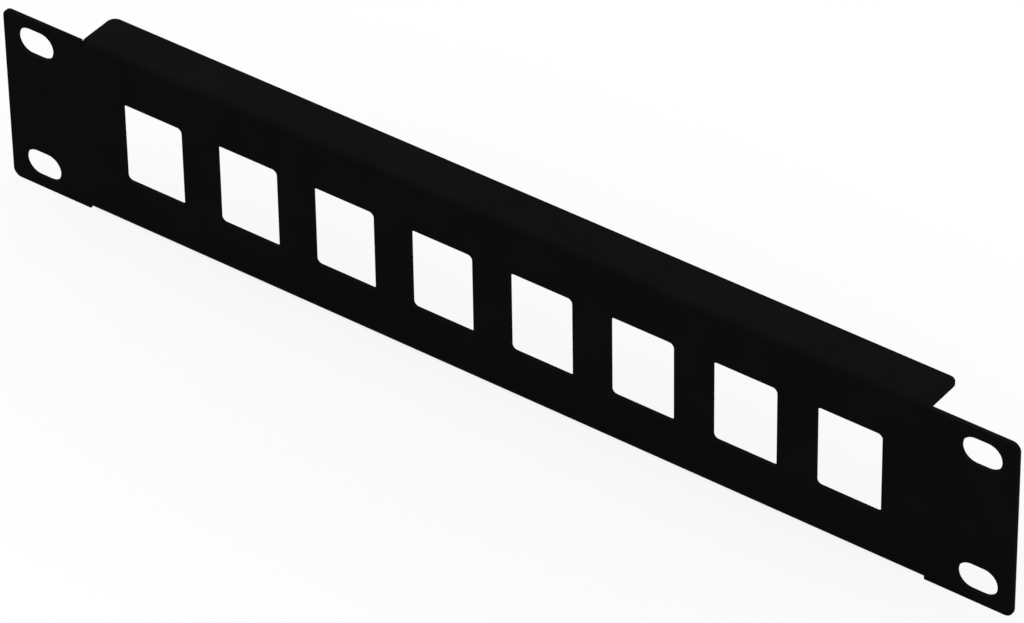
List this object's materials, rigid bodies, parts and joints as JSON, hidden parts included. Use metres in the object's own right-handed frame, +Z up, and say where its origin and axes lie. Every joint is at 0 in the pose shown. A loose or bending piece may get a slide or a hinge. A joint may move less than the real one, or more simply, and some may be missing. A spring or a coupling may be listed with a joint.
{
  "type": "keystone patch panel",
  "caption": "Unloaded one-unit patch panel for a ten-inch rack: one folded black steel sheet with a row of keystone openings, slotted ears and stiffening flanges.",
  "frame": {"origin": "centre of the four rack slots, on the rear face of the ears, which seats on the rack rails", "axes": "+X along the panel to the right as seen from the front, +Y from the front to the back, +Z up"},
  "size_m": [0.2536, 0.011, 0.0436],
  "materials": {
    "black_coat": "matte black powder coat on steel sheet"
  },
  "bodies": {
    "root": {"patch_panel": "black_coat"}
  },
  "joints": []
}
